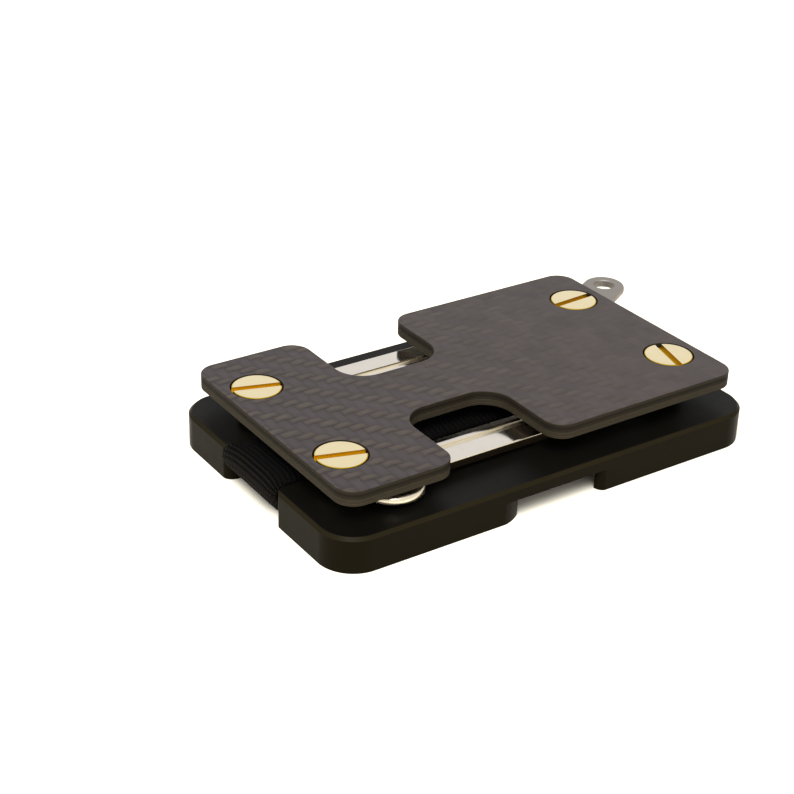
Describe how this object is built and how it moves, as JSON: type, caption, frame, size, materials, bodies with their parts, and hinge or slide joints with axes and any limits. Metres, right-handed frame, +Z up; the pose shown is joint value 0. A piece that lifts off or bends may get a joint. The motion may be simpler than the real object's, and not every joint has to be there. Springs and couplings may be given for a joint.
{
  "type": "card and note clip with key holder",
  "caption": "Slim card and note clip: a frame with a card pocket under an elastic band, and a top plate that clamps swing-out keys and a lanyard loop.",
  "frame": {"origin": "under the middle of the overall box, on the surface that the frame stands on", "axes": "+X along the long side towards the lanyard loop, +Y towards the rear long side, +Z up out of the top plate"},
  "size_m": [0.1064, 0.0584, 0.0139],
  "materials": {
    "frame": "black anodised aluminium, fine bead-blasted satin",
    "laminate": "carbon-fibre laminate, satin, with a fine twill weave and visible plies at the cut edge",
    "elastic": "black woven elastic with ribs across its width",
    "screws": "polished brass, fine turned face",
    "posts": "turned brass",
    "nylon": "black nylon",
    "keys": "bright nickel plate",
    "loop": "satin stainless steel"
  },
  "bodies": {
    "frame": {"base_frame": "frame", "top_plate": "laminate", "elastic_band": "elastic", "screw_front_left": "screws", "barrel_post_front_left": "posts", "screw_rear_left": "screws", "barrel_post_rear_left": "posts", "screw_front_right": "screws", "barrel_post_front_right": "posts", "screw_rear_right": "screws", "barrel_post_rear_right": "posts", "key_front_washer_lower": "nylon", "key_front_washer_upper": "nylon", "key_rear_washer_lower": "nylon", "key_rear_washer_upper": "nylon", "loop_washer_lower": "nylon", "loop_washer_upper": "nylon", "spacer_sleeve": "nylon"},
    "front_key": {"key_front": "keys"},
    "rear_key": {"key_rear": "keys"},
    "loop": {"lanyard_loop": "loop"}
  },
  "joints": [
    {"name": "front_key_swing", "type": "hinge", "parent": "frame", "child": "front_key", "pos_m": [-0.04253, -0.0134, 0.00882], "axis": [0, 0, 1], "range_deg": [-180, 0]},
    {"name": "rear_key_swing", "type": "hinge", "parent": "frame", "child": "rear_key", "pos_m": [-0.04253, 0.0158, 0.00882], "axis": [0, 0, 1], "range_deg": [0, 180]},
    {"name": "loop_swivel", "type": "hinge", "parent": "frame", "child": "loop", "pos_m": [0.03268, 0.0158, 0.00935], "axis": [0, 0, 1], "continuous": true}
  ]
}
